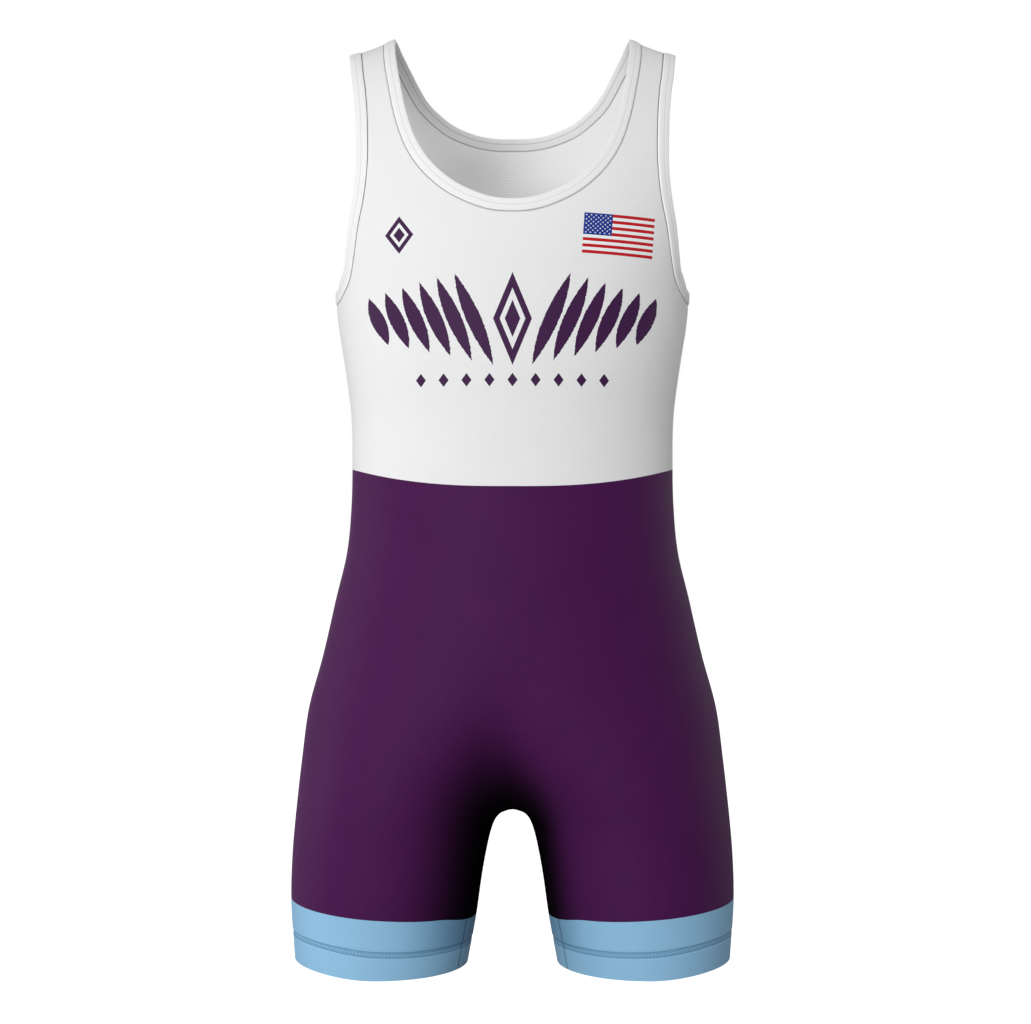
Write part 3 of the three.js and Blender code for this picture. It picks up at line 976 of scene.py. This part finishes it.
class Finish(Nodes):
    """A material whose surface shader is ready."""

    def __init__(self, name, roughness, specular, sheen=0.0):
        self.material = bpy.data.materials.new(name)
        super().__init__(self.material)
        self.shader = self.tree.nodes["Principled BSDF"]
        self.surface("Roughness", roughness)
        self.surface("Specular IOR Level", specular)
        self.surface("Sheen Weight", sheen)

    def surface(self, name, value):
        self.connect(value, self.shader.inputs[name])

    def mix(self, share, start, end):
        """A colour between two, by a share."""
        settings = {"data_type": "RGBA", "clamp_factor": True}
        return self.node("ShaderNodeMix", settings, {0: share, 6: start, 7: end}, output=2)

    def cloth_place(self):
        """Where a point lies on the flat cloth, in metres."""
        return self.node("ShaderNodeUVMap", {"uv_map": "cloth"}, {})

    def object_place(self):
        return self.node("ShaderNodeTexCoord", {}, {}, output="Object")

    def parts(self, place, axes):
        return [self.node("ShaderNodeSeparateXYZ", {}, {0: place}, output=axis) for axis in axes]

    def marked(self, name):
        """A number that the mesh carries at its points."""
        return self.node("ShaderNodeAttribute", {"attribute_name": name}, {}, output=2)

    def mottle(self, place, size, detail=2.0):
        """Soft uneven spots of about a given size, from 0 to 1."""
        sockets = {"Vector": place, "Scale": 1 / size, "Detail": detail, "Roughness": 0.6}
        return self.node("ShaderNodeTexNoise", {"noise_dimensions": "2D"}, sockets)

    def paint_black_shade(self, share):
        """Painted shade: where the share is 1 the cloth is shown black, with no shine either."""
        black = self.node("ShaderNodeBsdfDiffuse", {}, {"Color": (0.001, 0.001, 0.001, 1)})
        cloth = Value(self, self.shader.outputs[0])
        faded = self.node("ShaderNodeMixShader", {}, {0: share, 1: cloth, 2: black})
        self.connect(faded, self.tree.nodes["Material Output"].inputs["Surface"])

    def bumps(self, height, strength, distance):
        sockets = {"Height": height, "Strength": strength, "Distance": distance}
        self.surface("Normal", self.node("ShaderNodeBump", {}, sockets))


def colour(red, green, blue):
    """A linear colour from the 0 to 255 numbers a screen shows."""
    def linear(part):
        part /= 255
        return part / 12.92 if part <= 0.04045 else ((part + 0.055) / 1.055) ** 2.4

    return (linear(red), linear(green), linear(blue), 1)


def darker(tone, share):
    return (tone[0] * share, tone[1] * share, tone[2] * share, 1)


def lighter(tone):
    """The same hue, halfway to white at its strongest part."""
    strongest = max(tone[:3])
    return (*(lerp(1, part / strongest, 0.5) for part in tone[:3]), 1)


# Colours of the cloths, the prints and the threads, with the painted light of the white's inside
# and the painted shade of the blue band's hollow and of a hem's groove
WHITE = colour(232, 232, 233)
PAINTED_LIGHT_INNER_WHITE = colour(247, 247, 248)
BINDING_WHITE = colour(238, 238, 239)
PURPLE = colour(69, 19, 74)
BLUE = colour(140, 188, 221)
BLUE_SHADE = colour(34, 96, 138)
PRINT_PURPLE = colour(58, 13, 66)
FLAG_RED = colour(190, 12, 24)
FLAG_BLUE = colour(6, 46, 138)
FLAG_WHITE = colour(238, 240, 242)
# Painted shade in the band of a hem's stitching
HEM_GROOVE_SHADE_TONE = colour(112, 163, 198)
BLUE_THREAD = colour(104, 155, 190)
PALE_THREAD = colour(252, 253, 254)

# The knit: one wale across and one course down, its spots of tone, and how deep its relief is
WALE = 0.95 * MM
COURSE = 0.75 * MM
FINE_SPOT = 1.3 * MM
BROAD_SPOT = 45 * MM
FINE_CONTRAST = 2.4
BROAD_CONTRAST = 0.6
KNIT_RELIEF = 0.12 * MM

# Lines across the inner side of the knit: how far apart, how slanted, and how much they show
INNER_PITCH = 1.7 * MM
INNER_SLANT = 0.06
INNER_SHOWS = 0.11

# The width of the painted shade along the edges of a hem's groove, and how much painted shade darkens
# the cloth at the seams and in the hollow between the legs
HEM_EDGE = 0.4 * MM
SEAM_SHADE = 0.9
TRUNK_SHADE = 0.98
BAND_SHADE = 0.45


def knit_height(across, down):
    """Height of a plain knit: rows of small V stitches."""
    wale = across / WALE
    lean = abs(wale % 1 - 0.5)
    rib = (wale * FULL_TURN).cosine()
    course = ((down / COURSE + lean) * FULL_TURN).cosine()
    return rib * 0.5 + course * 0.5


def hem_groove_shade(finish, shown, level):
    """Painted shade in the band of a hem's stitching, darker still in a line along each of its edges."""
    off = abs(level - HEM_STITCH_Z)
    shown = finish.mix(off < HEM_STITCH_HALF, shown, HEM_GROOVE_SHADE_TONE)
    return finish.mix(abs(off - HEM_STITCH_HALF) < HEM_EDGE, shown, darker(HEM_GROOVE_SHADE_TONE, 0.8))


def knit(
    name, tone, roughness, specular, sheen, grain,
    inner=None, prints=None, paint_black_shade_in_hollow=False, hem_shade=None,
):
    """A stretch knit: uneven tone, stitches in relief, lines across its inner side, painted shade and
    light.
    """
    finish = Finish(name, roughness, specular, sheen)
    finish.surface("Sheen Tint", lighter(tone))
    place = finish.cloth_place()
    across, down = finish.parts(place, (0, 1))
    fine = finish.mottle(place, FINE_SPOT)
    broad = finish.mottle(place, BROAD_SPOT)
    uneven = ((fine - 0.5) * FINE_CONTRAST + (broad - 0.5) * BROAD_CONTRAST + 0.5).limited()
    shown = finish.mix(uneven, darker(tone, 1 - grain), darker(tone, 1 + grain))
    if prints:
        shown = prints(finish, shown)
    if hem_shade:
        level = finish.marked("level")
        shown = hem_groove_shade(finish, shown, level)
    # Painted light: the white's inside is given a lighter tone than its outside, standing in for light
    # that reaches it
    inner = inner or tone
    inner_lines = ((down + across * INNER_SLANT) * (FULL_TURN / INNER_PITCH)).cosine() + fine
    inner_cloth = finish.mix(inner_lines * INNER_SHOWS, inner, darker(inner, 0.6))
    shown = finish.mix(finish.marked("lining"), shown, inner_cloth)
    seam_shade_tone = darker(tone, 0.08)
    # Painted shade of the hollow between the legs, on the blue band above the hem's stitching only
    if hem_shade:
        shade_above_hem = finish.marked("hollow_shade") * (level > HEM_STITCH_Z)
        shown = finish.mix(shade_above_hem * BAND_SHADE, shown, hem_shade)
        seam_shade_tone = darker(hem_shade, 0.35)
    # Painted shade in the grooves along the seams
    shown = finish.mix(finish.marked("seam") * SEAM_SHADE, shown, seam_shade_tone)
    # Painted shade: the purple is shown black in the hollow between the legs
    if paint_black_shade_in_hollow:
        finish.paint_black_shade(finish.marked("hollow_shade") * TRUNK_SHADE)
    finish.surface("Base Color", shown)
    finish.bumps(knit_height(across, down) + fine * 1.6, 0.22, KNIT_RELIEF)
    return finish.material


# The flag printed on the wearer's left: its corner, size and slant on the cloth, seen from the front
FLAG = {"left": 59.4 * MM, "top": -157.9 * MM, "width": 59.6 * MM, "height": 33.6 * MM}
FLAG_DROP = 0.042
FLAG_LEAN = 0.04
FLAG_STRIPES = 13
CANTON_SHARE = 0.4
CANTON_STRIPES = 7

# Stars stand at every second crossing of this grid over the canton
STAR_COLUMNS = 12
STAR_LINES = 10
STAR_RADIUS = 0.88 * MM
STAR_INNER = 0.4


def star(dx, dy, radius):
    """1 inside a five-pointed star about the middle of dx and dy."""
    fifth = FULL_TURN / 5
    turn = dx.maths("ARCTAN2", dx, dy)
    folded = abs((turn + fifth / 2) % fifth - fifth / 2)
    reach = (dx * dx + dy * dy) ** 0.5
    tip = Vector((0, 1))
    notch = Vector((math.sin(fifth / 2), math.cos(fifth / 2))) * STAR_INNER
    side = notch - tip
    normal = Vector((-side.y, side.x)).normalized()
    if normal.dot(tip) < 0:
        normal = -normal
    along = reach * folded.sine() * normal.x + reach * folded.cosine() * normal.y
    return along < radius * normal.dot(tip)


def flag_print(finish, cloth_tone, x, z):
    down = (FLAG["top"] - FLAG_DROP * (x - FLAG["left"]) - z) / FLAG["height"]
    over = (x - FLAG["left"]) / FLAG["width"] + down * FLAG_LEAN
    inside = (over > 0) * (over < 1) * (down > 0) * (down < 1)
    stripe = (down * FLAG_STRIPES / 2) % 1 < 0.5
    shown = finish.mix(stripe, FLAG_WHITE, FLAG_RED)
    canton = (over < CANTON_SHARE) * (down < CANTON_STRIPES / FLAG_STRIPES)
    column = over * (STAR_COLUMNS / CANTON_SHARE)
    line = down * (STAR_LINES * FLAG_STRIPES / CANTON_STRIPES)
    column_at, line_at = round(column), round(line)
    dx = (column - column_at) * (FLAG["width"] * CANTON_SHARE / STAR_COLUMNS)
    dy = (line_at - line) * (FLAG["height"] * CANTON_STRIPES / FLAG_STRIPES / STAR_LINES)
    there = (column_at + line_at) % 2 < 0.5
    there = there * (column_at > 0.5) * (column_at < STAR_COLUMNS - 0.5)
    there = there * (line_at > 0.5) * (line_at < STAR_LINES - 0.5)
    stars = star(dx, dy, STAR_RADIUS) * there
    shown = finish.mix(canton, shown, finish.mix(stars, FLAG_BLUE, FLAG_WHITE))
    return finish.mix(inside, cloth_tone, shown)


# The plain chest design: leaf-shaped strokes that lean out from a diamond, over a row of small ones
DESIGN_Z = -246 * MM
STROKE_PITCH = 16 * MM
STROKE_LEAN = 0.42
STROKE_HALF_HEIGHT = 45 * MM
STROKE_SHORTER = 3.6 * MM
STROKE_HALF_WIDTH = 6.6 * MM
STROKE_ROUGH = 1.6 * MM
STROKE_GRAIN = 2.4 * MM
FIRST_STROKE = 2
LAST_STROKE = 7
RING_FROM = 0.66
CORE_TO = 0.4
DIAMOND = {"half_width": 16 * MM, "half_height": 38 * MM}
SMALL_ROW_Z = -296 * MM
SMALL_PITCH = 19 * MM
SMALL = {"half_width": 4.2 * MM, "half_height": 5.6 * MM}
SMALL_ROW_HALF = 86 * MM
BADGE = {"x": -94 * MM, "z": -175.5 * MM, "half_width": 12 * MM, "half_height": 15.5 * MM}


def diamond(dx, dz, size):
    """0 in the middle of a diamond and 1 on its edge."""
    return abs(dx) / size["half_width"] + abs(dz) / size["half_height"]


def ring_and_core(reach):
    return (reach < 1) * (reach > RING_FROM) + (reach < CORE_TO)


def plain_design(finish, x, z):
    up = z - DESIGN_Z
    ragged = (finish.mottle(finish.cloth_place(), STROKE_GRAIN, 4.0) - 0.5) * STROKE_ROUGH
    slid = abs(x) - up * STROKE_LEAN
    number = round(slid / STROKE_PITCH)
    off = abs(slid - number * STROKE_PITCH) + ragged
    half_height = STROKE_HALF_HEIGHT - number * STROKE_SHORTER
    taper = 1 - (up / half_height) ** 2
    strokes = (off < taper * STROKE_HALF_WIDTH)
    strokes = strokes * (number > FIRST_STROKE - 0.5) * (number < LAST_STROKE + 0.5)
    middle = ring_and_core(diamond(x, up, DIAMOND))
    small_x = x - round(x / SMALL_PITCH) * SMALL_PITCH
    small = (diamond(small_x, z - SMALL_ROW_Z, SMALL) < 1) * (abs(x) < SMALL_ROW_HALF)
    badge = ring_and_core(diamond(x - BADGE["x"], z - BADGE["z"], BADGE))
    return strokes.larger(middle).larger(small).larger(badge)


def chest_prints(finish, cloth_tone):
    x, z = finish.parts(finish.object_place(), (0, 2))
    shown = finish.mix(plain_design(finish, x, z), cloth_tone, PRINT_PURPLE)
    return flag_print(finish, shown, x, z)


# Round a binding's section from its seam: to the stitches, and to where the painted highlight at its seam
# edge ends
CHANNEL_FROM_SEAM = BINDING_THICKNESS / 2 + STITCH_CHANNEL["at"] - 0.4 * MM
HIGHLIGHT_FROM_SEAM = BINDING_THICKNESS / 2 + 0.6 * MM
HIGHLIGHT_FADE = 0.5 * MM

# The rib of a binding, and how much painted shade darkens the needle's line and the channel inside
RIB_PITCH = 1.25 * MM
NEEDLE_LINE = 0.36 * MM
NEEDLE_SHADE = 0.27
CHANNEL_SHADE = 0.15


def binding_rib(name, tone):
    """The folded rib of the bindings: a painted highlight beside the seam, and painted shade where its
    stitches pull it in.
    """
    finish = Finish(name, 0.62, 0.35, 0.15)
    place = finish.cloth_place()
    across, down = finish.parts(place, (0, 1))
    ticks = (across * (FULL_TURN / RIB_PITCH)).cosine()
    fine = finish.mottle(place, FINE_SPOT)
    speckled = ((fine - 0.5) * FINE_CONTRAST + 0.5).limited()
    shown = finish.mix(speckled, darker(tone, 0.95), darker(tone, 1.01))
    from_seam = abs(down - GIRTH / 2)
    inner_side = down > GIRTH / 2
    off_channel = abs(from_seam - CHANNEL_FROM_SEAM)
    # Painted shade in the line of stitches, and in the channel on the inside
    inner_channel_shade = inner_side * (off_channel < STITCH_CHANNEL["reach"]) * CHANNEL_SHADE
    stitch_shade = (off_channel < NEEDLE_LINE) * NEEDLE_SHADE + inner_channel_shade
    shown = finish.mix(stitch_shade, shown, darker(tone, 0.4))
    # Painted highlight along the seam edge of the binding
    painted_highlight = ((HIGHLIGHT_FROM_SEAM - from_seam) / HIGHLIGHT_FADE).limited()
    shown = finish.mix(painted_highlight, shown, (1, 1, 1, 1))
    finish.surface("Base Color", shown)
    finish.bumps(ticks * 0.4 + fine * 1.5, 0.25, KNIT_RELIEF)
    return finish.material


TWISTS_A_METRE = 2200.0


def thread(name, tone):
    """Twisted sewing thread."""
    finish = Finish(name, 0.5, 0.4)
    sockets = {"Vector": finish.object_place(), "Scale": TWISTS_A_METRE, "Detail": 1.0}
    twist = finish.node("ShaderNodeTexNoise", {"noise_dimensions": "3D"}, sockets)
    finish.surface("Base Color", finish.mix(twist, darker(tone, 0.86), tone))
    finish.bumps(twist, 0.3, 0.05 * MM)
    return finish.material


# The garment
# The white's inside takes a lighter tone, as painted light
white = {
    "tone": WHITE, "roughness": 0.62, "specular": 0.25, "sheen": 0.05, "grain": 0.025, "inner": PAINTED_LIGHT_INNER_WHITE
}
white_front = knit("white knit with its prints", prints=chest_prints, **white)
white_back = knit("white knit", **white)
purple = knit("purple knit", PURPLE, 0.55, 0.07, 0.08, 0.14, paint_black_shade_in_hollow=True)
blue = knit("blue knit", BLUE, 0.55, 0.2, 0.05, 0.04, hem_shade=BLUE_SHADE)
white_rib = binding_rib("white binding rib", BINDING_WHITE)

front_chest, back_chest = (
    body_panel(f"{face}_chest_panel", face, chest_rows(face), finish, f"chest_{face}", "white_knit")
    for face, finish in (("front", white_front), ("back", white_back))
)
front_trunk, back_trunk = (
    body_panel(f"{face}_trunk_panel", face, trunk_rows(face), purple, f"trunk_{face}", "purple_knit")
    for face in FACES
)
bands = [
    leg_band(f"{side}_leg_band_{face}", face, side, blue, f"leg_band_{face}_{side}")
    for side in SIDES
    for face in FACES
]

neck_ring = neck_stations()
neck = binding(
    "neck_edge_binding", neck_ring, 1, white_rib, ["neck_binding_front", "neck_binding_back"]
)
arm_rings = {side: arm_stations(side) for side in SIDES}
arms = [
    binding(
        f"{side}_armhole_edge_binding", ring, -1, white_rib,
        [f"armhole_binding_{face}_{side}" for face in FACES],
    )
    for side, ring in arm_rings.items()
]

white_thread = thread("white thread", BINDING_WHITE)
blue_thread = thread("blue thread", BLUE_THREAD)
pale_thread = thread("pale cover thread", PALE_THREAD)
edge_stitches = binding_stitches(
    "binding_stitches", [(neck_ring, 1), *((ring, -1) for ring in arm_rings.values())], white_thread
)
needle_heights = (HEM_STITCH_Z + NEEDLE_OFFSET, HEM_STITCH_Z - NEEDLE_OFFSET)
needle_rows = hem_stitches("hem_needle_stitches", needle_heights, blue_thread, "blue_knit")
cover_rows = hem_stitches(
    "hem_cover_thread", [HEM_STITCH_Z], pale_thread, "white_binding", length=COVER_LENGTH, gap=COVER_GAP
)


def declare_sheets():
    """Works out a width, the trunk panel above and any hem threads for each leg band, and uses none of
    them.
    """
    chest = (front_chest, back_chest)
    for band in bands:
        width, above = (0.231, front_trunk) if "front" in band.name else (0.311, back_trunk)
        sewn = [needle_rows, cover_rows] if band == bands[0] else []
    for arm in arms:
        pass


declare_sheets()


CAMERA_AWAY = 1.855
CAMERA_Z = -0.405
FLOOR_Z = -1.05
WHITE_LIGHT = (1, 1, 1, 1)
FLOOR_GREY = (0.35, 0.35, 0.35, 1)


def camera():
    """At the photograph's angle: level, straight in front, at the height of the waist."""
    data = bpy.data.cameras.new("camera")
    data.sensor_width = 36
    data.lens = 74.0
    data.shift_x = 0.0029
    eye = put_in_scene(bpy.data.objects.new("camera", data))
    eye.location = (0, -CAMERA_AWAY, CAMERA_Z)
    eye.rotation_euler = (QUARTER_TURN, 0, 0)
    bpy.context.scene.camera = eye


def lamp(name, place, target, power, size, spread=HALF_TURN):
    """A square soft light that points at a target and spreads over an angle."""
    data = bpy.data.lights.new(name, "AREA")
    data.energy = power
    data.size = size
    data.spread = spread
    light = put_in_scene(bpy.data.objects.new(name, data))
    light.location = place
    light.rotation_euler = (Vector(target) - Vector(place)).to_track_quat("-Z", "Y").to_euler()


def lamps():
    """A soft main light from the left of the front, and fainter ones at the edges and the shoulders."""
    middle = (0, 0, -0.4)
    lamp("main", (-1.15, -3.0, -0.05), middle, 68, 1.6)
    lamp("left edge", (-2.9, 0.2, -0.2), middle, 23, 1.2)
    lamp("right edge", (2.6, 1.4, 0.1), middle, 9, 1.6)
    lamp("shoulders", (1.7, -1.0, 0.9), (0.02, 0, -0.06), 0.17, 0.4, spread=0.42)


def white_room():
    """White where the camera sees past the garment, and a fainter even light on the garment."""
    world = bpy.data.worlds.new("white room")
    bpy.context.scene.world = world
    nodes = Nodes(world)
    seen = nodes.node("ShaderNodeBackground", {}, {"Color": WHITE_LIGHT, "Strength": 1.0})
    lit = nodes.node("ShaderNodeBackground", {}, {"Color": WHITE_LIGHT, "Strength": 0.38})
    nodes.shown_to_camera(seen, lit, "World Output")
    bpy.context.scene.view_settings.view_transform = "Standard"


def floor():
    """A pale floor that gives back some light, and looks white to the camera."""
    ground = bmesh.new()
    bmesh.ops.create_grid(ground, x_segments=1, y_segments=1, size=12)
    bmesh.ops.translate(ground, vec=(0, 0, FLOOR_Z), verts=ground.verts)
    data = bpy.data.meshes.new("floor")
    ground.to_mesh(data)
    ground.free()
    paint = bpy.data.materials.new("pale floor")
    nodes = Nodes(paint)
    plain = nodes.node("ShaderNodeBsdfDiffuse", {}, {"Color": FLOOR_GREY})
    glow = nodes.node("ShaderNodeEmission", {}, {"Strength": 1.0})
    both = nodes.node("ShaderNodeAddShader", {}, {0: plain, 1: glow})
    nodes.shown_to_camera(both, plain, "Material Output")
    data.materials.append(paint)
    put_in_scene(bpy.data.objects.new("floor", data))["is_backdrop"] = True


camera()
lamps()
white_room()
floor()

boxes = {"cad": cad_box, "visual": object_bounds()}
{name: [list(corner) for corner in box] for name, box in boxes.items()}
